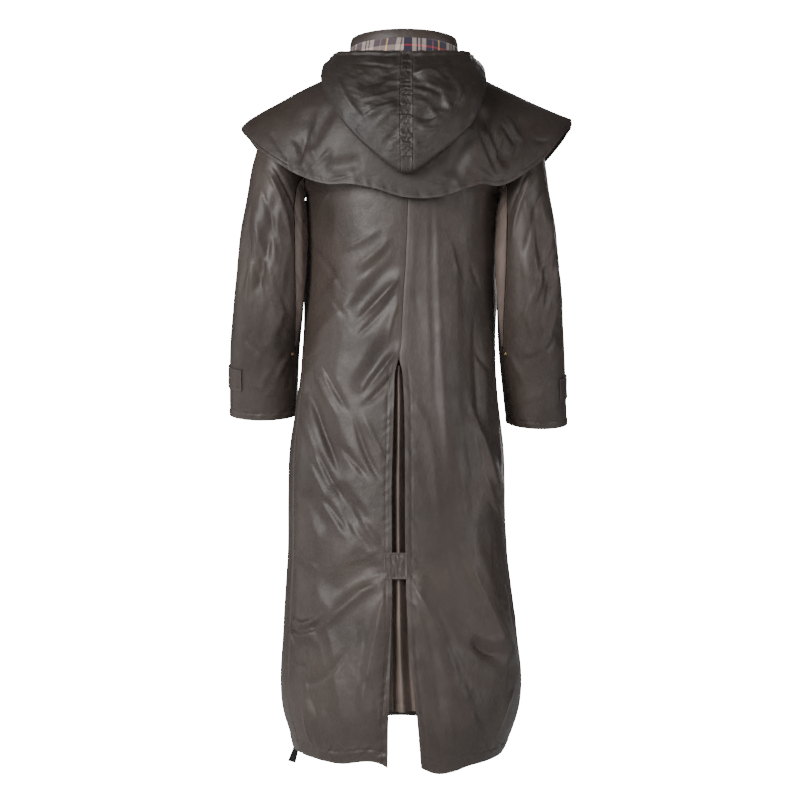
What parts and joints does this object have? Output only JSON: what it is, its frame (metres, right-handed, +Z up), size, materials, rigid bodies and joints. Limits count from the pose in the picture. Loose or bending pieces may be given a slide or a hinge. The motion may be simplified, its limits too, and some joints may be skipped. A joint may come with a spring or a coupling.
{
  "type": "hooded duster coat",
  "caption": "Full-length hooded riding coat with shoulder cape, standing collar and strapped back vent, filled out as worn with nobody in it.",
  "frame": {"origin": "between the shoulders, on the middle line at the height of the neck seam", "axes": "+Z up along the body, -Y to the back of the coat, +Y to its front closing, +X to the wearer's right arm"},
  "size_m": [0.6499, 0.3777, 1.3714],
  "materials": {
    "brown_nylon": "satin coated nylon",
    "check_cotton": "matt woven check",
    "webbing": "matt woven",
    "brass": "polished",
    "snap_metal": "dark plated"
  },
  "bodies": {
    "root": {"back_left": "brown_nylon", "back_right": "brown_nylon", "front_left": "brown_nylon", "front_right": "brown_nylon", "front_flap": "brown_nylon", "sleeve_left": "brown_nylon", "sleeve_right": "brown_nylon", "underarm_left": "brown_nylon", "underarm_right": "brown_nylon", "cuff_tab_left": "brown_nylon", "cuff_tab_right": "brown_nylon", "cape_back": "brown_nylon", "cape_front_left": "brown_nylon", "cape_front_right": "brown_nylon", "hood_left": "brown_nylon", "hood_right": "brown_nylon", "hood_strip": "brown_nylon", "collar": "brown_nylon", "collar_band": "brown_nylon", "undercollar_left": "check_cotton", "undercollar_right": "check_cotton", "vent_gusset": "brown_nylon", "vent_tab": "brown_nylon", "leg_strap": "webbing", "rivet_left": "brass", "rivet_right": "brass", "cuff_stud_left": "snap_metal", "cuff_stud_right": "snap_metal"}
  },
  "joints": []
}
